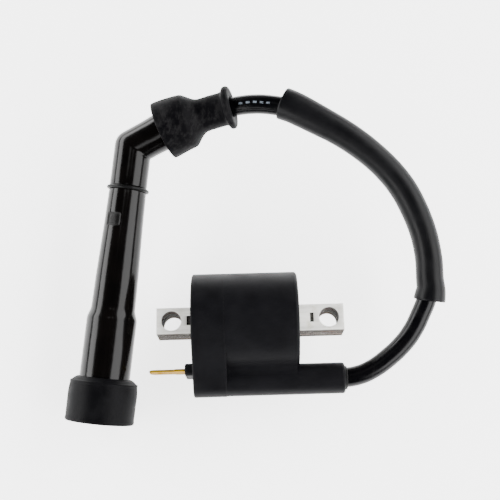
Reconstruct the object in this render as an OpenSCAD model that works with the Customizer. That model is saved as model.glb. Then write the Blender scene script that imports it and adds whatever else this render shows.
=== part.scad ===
// Single-lead ignition coil with its high-tension lead, sleeve and elbow spark plug cap.
// Origin: middle of the core bar, midway between the two lug holes.
// +X runs along the core from the terminal end to the lead end, +Z along the lug holes.

/* [Core] */
// Distance between the two lug holes
lug_spacing = 56; // [50:1:60]
// Length of the core bar
core_length = 66.6; // [66:0.2:74]
// Width of the core bar
core_width = 9.5; // [8:0.5:10]
// Thickness of the lamination stack
core_thickness = 11; // [9:0.5:11]
// Diameter of the lug holes
lug_hole_d = 7; // [5:0.5:7]

/* [Coil housing] */
// Outer diameter of the round housing
housing_d = 35.5; // [35.5:0.5:38]
// Wall thickness of the housing
housing_wall = 1.8; // [1.2:0.1:2]
// Distance from the coil axis to the lead tower axis
tower_offset = 21; // [20.5:0.5:22]
// Diameter of the lead tower
tower_d = 11.2; // [10.6:0.2:12]
// Radius of the housing's outer edges
edge_r = 1.2; // [0.6:0.2:1.6]

/* [Primary terminal] */
// Width of the blade
blade_width = 6.3; // [4.8:0.1:6.3]
// Thickness of the blade
blade_thickness = 0.8; // [0.5:0.1:0.8]

/* [High-tension lead] */
// Outside diameter of the lead
lead_d = 7; // [6:0.5:7]
// Outside diameter of the loose sleeve
sleeve_d = 11.2; // [11:0.2:12]

/* [Plug cap] */
// Bend between the barrel and the arm, in degrees from straight
elbow_bend = 58; // [50:1:60]
// Outside diameter of the arm
arm_d = 14; // [13:0.2:14]
// Outside diameter of the lower barrel
barrel_d = 18; // [17.6:0.2:18.6]
// Outside diameter of the rubber plug boot
plug_boot_d = 24.8; // [24:0.2:26]
// Bore of the contact that grips the spark plug's terminal nut
socket_bore_d = 6.5; // [6.4:0.05:6.6]

/* [Hidden] */

$fn = 96;
// Overrun of a cut past the face that it opens
cut = 0.5;
// Gap between parts of one fixed assembly
snug = 0.05;

// Stations along the coil axis
case_left = -20.5;
block_right = -8.7;
case_right = 17;
tower_right = 33.4;
fill_face = case_left + 0.6;
block_floor = block_right - housing_wall;
case_floor = case_right - 2;
wind_left = -15;
wind_right = 13;

housing_r = housing_d / 2;
tower_r = tower_d / 2;
inner_r = housing_r - housing_wall;
tower_y = -tower_offset;
// Step down from the joined left section to the round body and the tower
body_step = 0.15;
lead_r = lead_d / 2;
lead_bore_r = lead_r + 0.1;
grommet_r = 4.2;
grommet_left = tower_right - 8;
grommet_right = tower_right + 0.8;

// Bobbins and windings, as radii about the coil axis
core_gap = 0.2;
primary_tube_r = 8.3;
primary_wind_r = 10.2;
primary_flange_r = 10.8;
secondary_tube_in_r = 11;
secondary_tube_r = 11.9;
secondary_wind_r = 14.2;
secondary_flange_r = 14.6;
flange_t = 1.2;
rib_t = 0.8;
section_count = 8;

// Primary terminal
terminal_y = -17.3;
blade_tip = -36.1;
blade_shoulder = -27.4;
blade_tail = -16;
blade_hole_x = -32.3;
shoulder_width = blade_width + 1.7;
base_left = -23.4;
base_right = -17.2;
base_thickness = 4.3;
base_width = 10.4;
jumper_x = -16.2;
jumper_r = 0.5;
winding_tap_y = 9.4;

// High-tension terminal inside the tower
hv_left = -12;
lead_start = 8;
hv_spike_tip = 16;
hv_rod_r = 1.5;
core_bore_r = 1.3;
conductor_r = 1;

// Centreline of the lead, from the coil's terminal to the cap's arm
lead_route = [
    [8, -21, 0], [16, -21, 0], [24, -21, 0], [32, -21, 0], [38, -20.2, 0.4], [43, -18.2, 1],
    [48.2, -14.8, 2], [53.4, -10.4, 3.4], [57.2, -5.8, 4.8], [60.4, 0, 6.4], [62.8, 5.5, 8],
    [64, 12, 9.8], [63.8, 19, 11.7], [62.4, 27, 13.8], [59.6, 35, 16], [55.6, 43, 18],
    [50, 50, 20.2], [43, 56.3, 22.3], [35, 62, 24], [26.5, 67, 25.1], [18, 71.2, 25.5],
    [10.3, 73.5, 25], [3, 74.8, 23.6], [-5, 75.1, 21.1], [-11.2, 74.4, 19.5],
    [-17, 73.6, 18], [-22.3, 72.7, 16.8], [-29, 69.8, 14.9], [-35.3, 67.2, 13.2]
];
lead_sides = 12;
// First and last of those points inside the sleeve, and the sleeve's own ends
sleeve_first = 11;
sleeve_last = 20;
sleeve_low_end = [63.3, 4.9, 7.9];
sleeve_high_end = [13.8, 73.1, 25.4];
sleeve_wall = 1;
sleeve_sides = 12;

// Place and attitude of the plug cap: its elbow, and the turns of its barrel axis
cap_elbow = [-41.5, 64.5, 11.5];
cap_turn = [-80, -10.5, -9.5];

// Stations along the barrel, down from the elbow
band_at = 15.8;
pad_at = 28;
flare_top = 59.5;
flare_end = 64.1;
barrel_end = 96;
boot_top = 84.6;
boot_end = 100.4;
arm_r = arm_d / 2;
arm_length = 21.5;
arm_bore_r = lead_r + 0.3;
arm_bore_end = 5;
neck_r = 6.8;
barrel_r = barrel_d / 2;
insert_r = 3.6;
insert_top = 3;
insert_end = 9;
end_cap_t = 3;
resistor_end = 28;
spring_top = resistor_end + end_cap_t;
spring_end = 44;
contact_r = 4.2;
socket_top = 50;
socket_end = 62;
socket_r = socket_bore_d / 2;
clip_at = 58;
clip_wire_r = 0.4;
insulator_bore_r = 7;
insulator_top = 63;
seal_bore_r = 6.8;
screw_end = 14;

// Cable boot: a moulded cup, cone, neck and rolled rim on a gently bent centreline
boot_start = [-30, 69.4, 14.7];
boot_heading_start = 19;
boot_heading_end = 7;
boot_rise = 13.3;
boot_length = 27.2;
// Distance along the boot, outer radius and inner radius
boot_stations = [
    [0, 10.5, 7.7], [0.8, 10.85, 7.5], [2.6, 10.75, 7.5], [3.6, 10.7, 8.6], [6.5, 10.4, 8.6],
    [9.6, 10.1, 8.6], [10.6, 9.9, 7.4], [12.8, 8.3, 4.8], [14.8, 6.5, lead_bore_r + 0.1],
    [16.4, 6.2, lead_bore_r + 0.1], [20, 6.15, lead_bore_r + 0.1], [24.2, 6.2, lead_bore_r + 0.1],
    [24.9, 7.1, lead_bore_r + 0.1], [25.6, 7.9, lead_bore_r + 0.1], [26.6, 7.9, lead_bore_r + 0.1],
    [27.2, 7.3, lead_bore_r + 0.1]
];
boot_sides = 40;

// Radii of the barrel at its stations
barrel_profile = [[2, neck_r], [band_at, neck_r], [pad_at, 7.05], [48, 7.7], [flare_top, 7.9],
                  [flare_end, barrel_r], [barrel_end - 0.6, barrel_r], [barrel_end, barrel_r - 0.6]];

function unit(v) = v / norm(v);

function tangent(path, i) = unit(path[min(i + 1, len(path) - 1)] - path[max(i - 1, 0)]);

// Sideways direction of a route that never stands upright
function sideways(t) = unit(cross(t, [0, 0, 1]));

function ring_points(centre, t, r, sides) = [
    for (k = [0 : sides - 1])
        let (a = 360 * k / sides)
        centre + r * (cos(a) * sideways(t) + sin(a) * cross(sideways(t), t))
];

// Two triangles for each cell between neighbouring rings that start at "first"
function wall_faces(first, rings, sides, inward) = [
    for (i = [0 : rings - 2])
        for (k = [0 : sides - 1])
            let (
                a = first + i * sides + k,
                b = first + i * sides + (k + 1) % sides,
                c = a + sides,
                d = b + sides
            )
            for (face = inward ? [[a, b, c], [b, d, c]] : [[a, c, b], [b, c, d]])
                face
];

// The flat ring at one end, between the outer ring and the inner ring
function end_faces(outer, inner, sides, flip) = [
    for (k = [0 : sides - 1])
        let (a = outer + k, b = outer + (k + 1) % sides, c = inner + k, d = inner + (k + 1) % sides)
        for (face = flip ? [[a, c, b], [b, c, d]] : [[a, b, c], [b, d, c]])
            face
];

function cap_end_face(first, sides, flip) =
    flip ? [for (k = [sides - 1 : -1 : 0]) first + k] : [for (k = [0 : sides - 1]) first + k];

// A solid rod along a path, with one radius for each point of it
module bent_rod(path, radii, sides) {
    rings = len(path);
    points = [for (i = [0 : rings - 1]) each ring_points(path[i], tangent(path, i), radii[i], sides)];
    polyhedron(
        points = points,
        faces = concat(
            wall_faces(0, rings, sides, false),
            [cap_end_face(0, sides, false)],
            [cap_end_face((rings - 1) * sides, sides, true)]
        )
    );
}

// A hollow tube along a path, with an outer and an inner radius for each point of it
module bent_tube(path, outer, inner, sides) {
    rings = len(path);
    total = rings * sides;
    points = concat(
        [for (i = [0 : rings - 1]) each ring_points(path[i], tangent(path, i), outer[i], sides)],
        [for (i = [0 : rings - 1]) each ring_points(path[i], tangent(path, i), inner[i], sides)]
    );
    polyhedron(
        points = points,
        faces = concat(
            wall_faces(0, rings, sides, false),
            wall_faces(total, rings, sides, true),
            end_faces(0, total, sides, false),
            end_faces(total - sides, 2 * total - sides, sides, true)
        )
    );
}

function constant(value, count) = [for (i = [1 : count]) value];

// A cylinder along +X from x0 to x1
module rod_x(x0, x1, r, y = 0, z = 0) {
    translate([x0, y, z])
        rotate([0, 90, 0])
            cylinder(h = x1 - x0, r = r);
}

// A ring along +X from x0 to x1
module ring_x(x0, x1, outer, inner) {
    difference() {
        rod_x(x0, x1, outer);
        rod_x(x0 - cut, x1 + cut, inner);
    }
}

// A cylinder along +X whose right end has a rounded edge
module rounded_rod_x(x0, x1, r, round_r) {
    translate([x0, 0, 0])
        rotate([0, 90, 0])
            rotate_extrude()
                polygon(concat(
                    [[0, 0], [r, 0]],
                    [for (a = [0 : 15 : 90])
                        [r - round_r + round_r * cos(a), x1 - x0 - round_r + round_r * sin(a)]],
                    [[0, x1 - x0]]
                ));
}

// The outline that joins the round housing to the lead tower, smaller all round by "inset"
module block_outline(inset) {
    slope = asin((housing_r - tower_r) / tower_offset);
    // The flat sides lie a hair inside the true tangents, so that they cross both circles cleanly
    r1 = housing_r - inset - 0.06;
    r2 = tower_r - inset - 0.06;
    circle(r = housing_r - inset);
    translate([0, tower_y])
        circle(r = tower_r - inset);
    polygon([
        [r1 * cos(slope), -r1 * sin(slope)],
        [r2 * cos(slope), tower_y - r2 * sin(slope)],
        [-r2 * cos(slope), tower_y - r2 * sin(slope)],
        [-r1 * cos(slope), -r1 * sin(slope)]
    ]);
}

// The joined outline as a solid from x0 to x1
module block_x(x0, x1, inset) {
    translate([x0, 0, 0])
        rotate([0, 90, 0])
            linear_extrude(height = x1 - x0)
                block_outline(inset);
}

module core_bar(x0, x1, gap) {
    translate([x0, -core_width / 2 - gap, -core_thickness / 2 - gap])
        cube([x1 - x0, core_width + 2 * gap, core_thickness + 2 * gap]);
}

// Puts a shape that is drawn down the barrel axis into the cap's place
module at_cap() {
    translate(cap_elbow)
        rotate(cap_turn)
            children();
}

// Turns a shape that is drawn up the Z axis onto the arm of the cap
module on_arm() {
    rotate([0, elbow_bend, 0])
        children();
}

// A cylinder in the barrel, between two distances below the elbow
module barrel_rod(top, end, r) {
    translate([0, 0, -end])
        cylinder(h = end - top, r = r);
}

module housing() {
    color([0.09, 0.09, 0.1])
        difference() {
            union() {
                block_x(case_left, block_right, 0);
                rounded_rod_x(block_right, case_right, housing_r - body_step, edge_r);
                translate([0, tower_y, 0])
                    rounded_rod_x(block_right, tower_right, tower_r - body_step, edge_r);
            }
            block_x(case_left - cut, block_floor, housing_wall);
            rod_x(block_floor - cut, case_floor, inner_r - body_step);
            core_bar(case_floor - cut, case_right + cut, snug);
            rod_x(block_floor - cut, lead_start + cut, hv_rod_r + snug, tower_y);
            rod_x(lead_start, tower_right + cut, lead_bore_r, tower_y);
            rod_x(grommet_left, tower_right + cut, grommet_r + snug, tower_y);
        }
}

module epoxy_fill() {
    color([0.16, 0.15, 0.15])
        difference() {
            union() {
                block_x(fill_face, wind_left - snug, housing_wall + snug);
                ring_x(
                    wind_left - snug,
                    case_floor - snug,
                    inner_r - body_step - snug,
                    secondary_flange_r + snug
                );
            }
            core_bar(fill_face - cut, wind_left + cut, snug);
            terminal_base_shape(snug);
            translate([base_right - cut, terminal_y - 1.4, -blade_width / 2 - 0.4])
                cube([
                    wind_left - base_right + 2 * cut,
                    1.4 - terminal_y - winding_tap_y + jumper_r + 0.1,
                    blade_width + 2
                ]);
            translate([jumper_x - 1, core_width / 2 - cut, -2])
                cube([2 + cut, winding_tap_y - core_width / 2 + 1.8, 4]);
            translate([jumper_x - 1.1, tower_y - 0.7, -1])
                cube([3, 3, 5.8]);
        }
}

module core_laminations() {
    dimple_x = 21.9;
    color([0.74, 0.74, 0.7])
        difference() {
            core_bar(-core_length / 2, core_length / 2, 0);
            for (side = [-1, 1]) {
                translate([side * lug_spacing / 2, 0, -core_thickness / 2 - cut])
                    cylinder(h = core_thickness + 2 * cut, d = lug_hole_d);
                translate([side * dimple_x - 0.65, -1.65, core_thickness / 2 - 0.4])
                    cube([1.3, 3.3, 1]);
            }
        }
}

module primary_bobbin() {
    color([0.2, 0.2, 0.22])
        difference() {
            union() {
                rod_x(wind_left, wind_right, primary_tube_r);
                rod_x(wind_left, wind_left + flange_t, primary_flange_r);
                rod_x(wind_right - flange_t, wind_right, primary_flange_r);
            }
            core_bar(wind_left - cut, wind_right + cut, core_gap);
            for (side = [-1, 1])
                rod_x(wind_left - cut, wind_left + flange_t + cut, jumper_r + snug, side * winding_tap_y);
        }
}

module primary_winding() {
    color([0.72, 0.4, 0.2])
        ring_x(
            wind_left + flange_t + snug,
            wind_right - flange_t - snug,
            primary_wind_r,
            primary_tube_r + snug
        );
}

module secondary_bobbin() {
    pitch = (wind_right - wind_left - rib_t) / section_count;
    color([0.85, 0.83, 0.75])
        difference() {
            union() {
                rod_x(wind_left, wind_right, secondary_tube_r);
                rod_x(wind_left, wind_left + rib_t, 12.9);
                for (i = [1 : section_count])
                    rod_x(wind_left + i * pitch, wind_left + i * pitch + rib_t, secondary_flange_r);
            }
            rod_x(wind_left - cut, wind_right + cut, secondary_tube_in_r);
        }
}

module secondary_winding() {
    pitch = (wind_right - wind_left - rib_t) / section_count;
    color([0.6, 0.3, 0.14])
        for (i = [0 : section_count - 1])
            ring_x(
                wind_left + i * pitch + rib_t + snug,
                wind_left + (i + 1) * pitch - snug,
                secondary_wind_r,
                secondary_tube_r + snug
            );
}

// The moulded block that carries the blade, grown all round by "grow"
module terminal_base_shape(grow) {
    corner_r = 1.2;
    translate([base_left - grow, terminal_y, 0])
        rotate([90, 0, 90])
            linear_extrude(height = base_right - base_left + 2 * grow)
                union() {
                    square([base_thickness + 2 * grow, base_width - 2 * corner_r], center = true);
                    square([base_thickness - 2 * corner_r, base_width + 2 * grow], center = true);
                    for (u = [-1, 1], v = [-1, 1])
                        translate([u * (base_thickness / 2 - corner_r), v * (base_width / 2 - corner_r)])
                            circle(r = corner_r + grow);
                }
}

module terminal_base() {
    color([0.1, 0.1, 0.11])
        difference() {
            terminal_base_shape(0);
            translate([base_left - cut, terminal_y - blade_thickness / 2, -blade_width / 2])
                cube([base_right - base_left + 2 * cut, blade_thickness, blade_width]);
            translate([base_left - cut, terminal_y - blade_thickness / 2, -shoulder_width / 2])
                cube([1 + cut, blade_thickness, shoulder_width]);
        }
}

module primary_terminal() {
    tip_chamfer = 1.3;
    hole_d = 1.8;
    color([0.8, 0.62, 0.25])
        translate([0, terminal_y, 0])
            rotate([90, 0, 0])
                translate([0, 0, -blade_thickness / 2])
                    linear_extrude(height = blade_thickness)
                        difference() {
                            polygon([
                                [blade_tip, -blade_width / 2 + tip_chamfer],
                                [blade_tip + tip_chamfer, -blade_width / 2],
                                [blade_shoulder, -blade_width / 2],
                                [blade_shoulder, -shoulder_width / 2],
                                [base_left + 1, -shoulder_width / 2],
                                [base_left + 1, -blade_width / 2],
                                [blade_tail, -blade_width / 2],
                                [blade_tail, blade_width / 2],
                                [base_left + 1, blade_width / 2],
                                [base_left + 1, shoulder_width / 2],
                                [blade_shoulder, shoulder_width / 2],
                                [blade_shoulder, blade_width / 2],
                                [blade_tip + tip_chamfer, blade_width / 2],
                                [blade_tip, blade_width / 2 - tip_chamfer]
                            ]);
                            translate([blade_hole_x, 0])
                                circle(d = hole_d, $fn = 32);
                        }
}

module primary_jumper() {
    top = terminal_y + blade_thickness / 2;
    color([0.75, 0.42, 0.22])
        union() {
            translate([jumper_x, -winding_tap_y, 0])
                rotate([90, 0, 0])
                    cylinder(h = -top - winding_tap_y, r = jumper_r, $fn = 32);
            translate([jumper_x, -winding_tap_y, 0])
                sphere(r = jumper_r, $fn = 32);
            rod_x(jumper_x, wind_left + flange_t, jumper_r, -winding_tap_y, $fn = 32);
        }
}

module ground_strip() {
    color([0.7, 0.7, 0.68])
        union() {
            translate([jumper_x - 0.4, core_width / 2, -1.5])
                cube([0.8, winding_tap_y - core_width / 2 + 0.7, 3]);
            rod_x(jumper_x, wind_left + flange_t, jumper_r, winding_tap_y, $fn = 32);
        }
}

module hv_link_wire() {
    wire_r = 0.4;
    link_route = [[-14.2, -13.4, 3], [-15.4, -13.5, 3.4], [-16.5, -14.6, 4.1], [-16.6, -17.2, 4.2],
                  [-16.4, -19.4, 3.2], [-15.2, -20.7, 1.4], [-13.6, -21, 0.3], [-12, -21, 0]];
    color([0.75, 0.42, 0.22])
        bent_rod(link_route, constant(wire_r, len(link_route)), 8);
}

module hv_terminal() {
    color([0.8, 0.62, 0.25])
        translate([hv_left, tower_y, 0])
            rotate([0, 90, 0])
                union() {
                    cylinder(h = lead_start - hv_left, r = hv_rod_r);
                    cylinder(h = hv_spike_tip - 2 - hv_left, r = conductor_r, $fn = 32);
                    translate([0, 0, hv_spike_tip - 2 - hv_left])
                        cylinder(h = 2, r1 = conductor_r, r2 = 0.2, $fn = 32);
                }
}

module lead_grommet() {
    color([0.07, 0.07, 0.07])
        translate([0, tower_y, 0])
            ring_x(grommet_left, grommet_right, grommet_r, lead_bore_r);
}

// The stranded core, clear of the spikes that enter it from both ends
module lead_conductor() {
    first = [hv_spike_tip + 0.3, tower_y, 0];
    inner = [for (i = [2 : len(lead_route) - 3]) lead_route[i]];
    last = [-26.3, 71, 15.7];
    path = concat([first], inner, [last]);
    color([0.75, 0.7, 0.6])
        bent_rod(path, constant(conductor_r, len(path)), lead_sides);
}

module ht_lead() {
    count = len(lead_route);
    color([0.05, 0.05, 0.05])
        bent_tube(lead_route, constant(lead_r, count), constant(core_bore_r, count), lead_sides);
}

module lead_sleeve() {
    middle = [for (i = [sleeve_first : sleeve_last]) lead_route[i]];
    path = concat([sleeve_low_end], middle, [sleeve_high_end]);
    count = len(path);
    color([0.12, 0.12, 0.12])
        bent_tube(
            path,
            constant(sleeve_d / 2, count),
            constant(sleeve_d / 2 - sleeve_wall, count),
            sleeve_sides
        );
}

// Point on the cable boot's centreline: its plan heading turns evenly along its length
function boot_point(s) =
    let (
        turn = boot_heading_end - boot_heading_start,
        heading = boot_heading_start + turn * s / boot_length,
        plan_r = boot_length * cos(boot_rise) * 180 / (PI * turn)
    )
    boot_start + [
        plan_r * (sin(heading) - sin(boot_heading_start)),
        plan_r * (cos(boot_heading_start) - cos(heading)),
        s * sin(boot_rise)
    ];

module cable_boot() {
    path = [for (station = boot_stations) boot_point(station[0])];
    outer = [for (station = boot_stations) station[1]];
    inner = [for (station = boot_stations) station[2]];
    color([0.11, 0.11, 0.11])
        bent_tube(path, outer, inner, boot_sides);
}

// The barrel's outside, turned about its own axis
module barrel_shape() {
    rotate_extrude()
        polygon(concat(
            [[0, -barrel_profile[0][0]]],
            [for (station = barrel_profile) [station[1], -station[0]]],
            [[0, -barrel_end]]
        ));
}

// The mitred corner of the elbow, with its outer tip rounded off
module elbow_corner() {
    reach = 12;
    intersection() {
        translate([0, 0, -3])
            cylinder(h = reach + 3, r = neck_r);
        on_arm()
            translate([0, 0, -reach])
                cylinder(h = reach + 3, r = neck_r);
        sphere(r = neck_r + 0.4);
    }
}

// A shallow framed recess with a low pad in it, on the front of the barrel
module pad_recess() {
    recess_depth = 0.45;
    pad_height = 0.3;
    translate([0, 0, -pad_at])
        rotate([0, 0, 167])
            translate([0, 7.05 - recess_depth, 0])
                difference() {
                    translate([-2.6, 0, -2.15])
                        cube([5.2, 3, 4.3]);
                    translate([-1.6, -cut, -1.3])
                        cube([3.2, pad_height + cut, 2.6]);
                }
}

module cap_body() {
    color([0.05, 0.045, 0.045])
        at_cap()
            difference() {
                union() {
                    barrel_shape();
                    elbow_corner();
                    on_arm()
                        cylinder(h = arm_length, r = neck_r);
                    on_arm()
                        translate([0, 0, 9])
                            cylinder(h = arm_length - 9, r = arm_r);
                }
                on_arm()
                    translate([0, 0, arm_bore_end])
                        cylinder(h = arm_length, r = arm_bore_r);
                on_arm()
                    cylinder(h = arm_bore_end + cut, r = 1.7);
                translate([0, 0, -insert_end - cut])
                    cylinder(h = insert_end + insert_top + cut, r = insert_r + snug);
                barrel_rod(insert_end - cut, spring_end + cut, insert_r + snug);
                barrel_rod(spring_end, insulator_top + cut, contact_r + snug);
                barrel_rod(insulator_top, barrel_end + cut, insulator_bore_r);
                pad_recess();
                translate([0, 0, -band_at])
                    rotate_extrude()
                        translate([neck_r + 0.35, 0])
                            circle(r = 0.7, $fn = 32);
            }
}

module cap_band() {
    color([0.03, 0.03, 0.03])
        at_cap()
            translate([0, 0, -band_at])
                rotate_extrude()
                    translate([neck_r + 0.35, 0])
                        circle(r = 0.65, $fn = 32);
}

module elbow_insert() {
    color([0.8, 0.62, 0.25])
        at_cap()
            difference() {
                translate([0, 0, -insert_end])
                    cylinder(h = insert_end + insert_top, r = insert_r);
                on_arm()
                    cylinder(h = 10, r = 1.65);
            }
}

module lead_screw() {
    color([0.7, 0.7, 0.72])
        at_cap()
            on_arm()
                union() {
                    translate([0, 0, 0.4])
                        cylinder(h = 6.4, r = 1.6, $fn = 32);
                    cylinder(h = screw_end - 3, r = 0.95, $fn = 32);
                    translate([0, 0, screw_end - 3])
                        cylinder(h = 3, r1 = 0.95, r2 = 0.15, $fn = 32);
                }
}

module resistor_end_caps() {
    color([0.72, 0.72, 0.7])
        at_cap()
            for (top = [insert_end, resistor_end])
                difference() {
                    barrel_rod(top + snug, top + end_cap_t - snug, insert_r);
                    if (top == insert_end)
                        barrel_rod(top + 1, top + end_cap_t + cut, 2.65);
                    else
                        barrel_rod(top - cut, top + 2, 2.65);
                }
}

module cap_resistor() {
    color([0.82, 0.8, 0.74])
        at_cap()
            barrel_rod(insert_end + 1, resistor_end + 2, 2.6);
}

// The conductive spring between the resistor and the plug contact
module contact_spring() {
    turns = 6;
    steps_per_turn = 10;
    wire_r = 0.35;
    coil_r = 3.1;
    top = spring_top + wire_r;
    length = spring_end - spring_top - 2 * wire_r;
    steps = turns * steps_per_turn;
    helix = [
        for (i = [0 : steps])
            [coil_r * cos(360 * i / steps_per_turn), coil_r * sin(360 * i / steps_per_turn),
             -top - length * i / steps]
    ];
    color([0.7, 0.7, 0.72])
        at_cap()
            bent_rod(helix, constant(wire_r, len(helix)), 6);
}

module plug_contact() {
    color([0.8, 0.62, 0.25])
        at_cap()
            difference() {
                barrel_rod(spring_end + snug, socket_end, contact_r);
                barrel_rod(socket_top, socket_end + cut, socket_r);
                translate([0, 0, -clip_at])
                    rotate_extrude()
                        translate([socket_r + clip_wire_r, 0])
                            square([2 * clip_wire_r + 2 * snug, 2 * clip_wire_r + 2 * snug], center = true);
            }
}

// The open spring ring that snaps over the terminal nut
module retaining_clip() {
    gap_angle = 40;
    color([0.75, 0.75, 0.77])
        at_cap()
            translate([0, 0, -clip_at])
                rotate([0, 0, gap_angle / 2])
                    rotate_extrude(angle = 360 - gap_angle)
                        translate([socket_r + clip_wire_r + snug, 0])
                            circle(r = clip_wire_r - snug, $fn = 24);
}

module plug_boot() {
    boot_r = plug_boot_d / 2;
    grip_r = barrel_r + snug;
    seat = barrel_end + 0.2;
    color([0.1, 0.1, 0.1])
        at_cap()
            rotate_extrude()
                polygon([
                    [grip_r, -boot_top], [barrel_r + 0.9, -boot_top],
                    [boot_r - 1.3, -boot_top - 1.3], [boot_r - 0.4, -boot_top - 1.5],
                    [boot_r - 0.4, -boot_top - 2.3], [boot_r - 0.1, -boot_top - 3.2],
                    [boot_r, -boot_top - 8], [boot_r - 0.2, -boot_end + 1.6],
                    [boot_r - 0.1, -boot_end + 0.5], [boot_r - 0.6, -boot_end],
                    [seal_bore_r + 0.8, -boot_end], [seal_bore_r, -boot_end + 0.8],
                    [seal_bore_r, -seat], [grip_r, -seat]
                ]);
}

housing();
epoxy_fill();
core_laminations();
primary_bobbin();
primary_winding();
secondary_bobbin();
secondary_winding();
terminal_base();
primary_terminal();
primary_jumper();
ground_strip();
hv_link_wire();
hv_terminal();
lead_grommet();
lead_conductor();
ht_lead();
lead_sleeve();
cable_boot();
cap_body();
cap_band();
lead_screw();
elbow_insert();
resistor_end_caps();
cap_resistor();
contact_spring();
plug_contact();
retaining_clip();
plug_boot();
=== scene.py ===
"""Looks of the ignition coil: a potted coil on a lug core, its high-tension lead and an elbow plug cap."""

import math
import random

import bmesh
import bpy
from mathutils import Euler, Matrix, Vector, noise


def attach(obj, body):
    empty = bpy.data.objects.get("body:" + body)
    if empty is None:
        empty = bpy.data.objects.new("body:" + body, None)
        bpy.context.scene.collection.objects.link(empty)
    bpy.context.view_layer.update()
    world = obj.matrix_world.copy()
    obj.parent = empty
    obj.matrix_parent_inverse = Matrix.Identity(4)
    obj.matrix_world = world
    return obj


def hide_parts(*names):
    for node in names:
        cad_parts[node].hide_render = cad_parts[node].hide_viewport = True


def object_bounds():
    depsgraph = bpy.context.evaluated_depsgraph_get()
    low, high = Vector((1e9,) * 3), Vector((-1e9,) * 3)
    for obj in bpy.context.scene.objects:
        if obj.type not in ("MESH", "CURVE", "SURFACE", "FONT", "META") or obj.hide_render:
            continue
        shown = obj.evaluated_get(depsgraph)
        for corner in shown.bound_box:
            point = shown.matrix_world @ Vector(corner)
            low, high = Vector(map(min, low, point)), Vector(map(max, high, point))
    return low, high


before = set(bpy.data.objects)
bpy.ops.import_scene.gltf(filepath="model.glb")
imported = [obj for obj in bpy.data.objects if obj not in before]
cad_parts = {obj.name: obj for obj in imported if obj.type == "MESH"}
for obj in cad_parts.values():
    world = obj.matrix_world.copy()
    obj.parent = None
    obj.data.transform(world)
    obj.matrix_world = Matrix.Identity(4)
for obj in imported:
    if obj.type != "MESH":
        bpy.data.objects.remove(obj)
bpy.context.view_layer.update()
MM = 0.001
WELD_DISTANCE = 1e-7  # metres
FLOOR_GLOW = 2.8
rng = random.Random(7)

# Bodies of the frame
COIL, CAP, BOOT = "coil", "plug_cap", "plug_boot"

# ---------------------------------------------------------------- driving values, in millimetres

# Coil
HOUSING_R, TOWER_R, TOWER_Y = 17.75, 5.6, -21.0
CASE_LEFT, BLOCK_RIGHT, CASE_RIGHT, TOWER_RIGHT = -20.5, -8.7, 17.0, 32.9
EDGE_R = 1.2
CORE_LENGTH, CORE_WIDTH, CORE_THICKNESS = 66.6, 9.5, 11.0
LUG_SPACING, LUG_HOLE_R, DIMPLE_X = 56.0, 3.5, 21.9
TERMINAL_Y = -17.3
LEAD_R = 3.5

# Plug cap, in its own axes: the barrel points down from the elbow and the arm leans towards +X
CAP_ELBOW = Vector((-41.5, 64.5, 11.5))
CAP_TURN = Euler([math.radians(a) for a in (-80, -10.5, -9.5)], "XYZ").to_matrix()
ELBOW_BEND = math.radians(58)
NECK_R, ARM_R, BARREL_R = 6.8, 7.0, 9.0
BARREL_R_AT_PAD, BARREL_R_AT_FLARE = 7.05, 7.9
ARM_LENGTH = 21.5
BAND_AT, PAD_AT = 15.8, 28.0
PAD_ANGLE = -103.0  # round the barrel, where -90 is straight up from the table
FLARE_TOP, FLARE_END, BARREL_END = 59.5, 64.1, 96.0
BOOT_TOP, BOOT_END, PLUG_BOOT_R = 84.6, 100.4, 12.25

# The lead's centreline, from the coil's terminal to the cap's arm
LEAD_ROUTE = [
    (8, -21, 0), (16, -21, 0), (24, -21, 0), (32, -21, 0), (38, -20.2, 0.4), (43, -18.2, 1),
    (48.2, -14.8, 2), (53.4, -10.4, 3.4), (57.2, -5.8, 4.8), (60.4, 0, 6.4), (62.8, 5.5, 8),
    (64, 12, 9.8), (63.8, 19, 11.7), (62.4, 27, 13.8), (59.6, 35, 16), (55.6, 43, 18),
    (50, 50, 20.2), (43, 56.3, 22.3), (35, 62, 24), (26.5, 67, 25.1), (18, 71.2, 25.5),
    (10.3, 73.5, 25), (3, 74.8, 23.6), (-5, 75.1, 21.1), (-11.2, 74.4, 19.5),
    (-17, 73.6, 18), (-22.3, 72.7, 16.8), (-29, 69.8, 14.9), (-35.3, 67.2, 13.2),
]

# ---------------------------------------------------------------- camera

CAMERA_ELEVATION = math.radians(73)
CAMERA_ROLL = math.radians(1.6)
CAMERA_DISTANCE = 314.0
CAMERA_AIM = Vector((0.64, 24.9, 7.5))
FOCAL_PIXELS, FRAME_PIXELS = 870.0, 500.0


def make_camera():
    """Looks towards +Y and down by the elevation, from a set distance off its aim."""
    data = bpy.data.cameras.new("camera")
    data.sensor_width = 36
    data.lens = data.sensor_width * FOCAL_PIXELS / FRAME_PIXELS
    data.clip_start, data.clip_end = 0.01, 100
    camera = bpy.data.objects.new("camera", data)
    bpy.context.scene.collection.objects.link(camera)
    forward = Vector((0, math.cos(CAMERA_ELEVATION), -math.sin(CAMERA_ELEVATION)))
    up = Vector((0, math.sin(CAMERA_ELEVATION), math.cos(CAMERA_ELEVATION)))
    right = Vector((1, 0, 0))
    turned_right = right * math.cos(CAMERA_ROLL) - up * math.sin(CAMERA_ROLL)
    turned_up = right * math.sin(CAMERA_ROLL) + up * math.cos(CAMERA_ROLL)
    camera.location = (CAMERA_AIM - forward * CAMERA_DISTANCE) * MM
    axes = Matrix((turned_right, turned_up, -forward)).transposed()
    camera.rotation_mode = "QUATERNION"
    camera.rotation_quaternion = axes.to_quaternion()
    bpy.context.scene.camera = camera


# ---------------------------------------------------------------- material helpers


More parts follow.
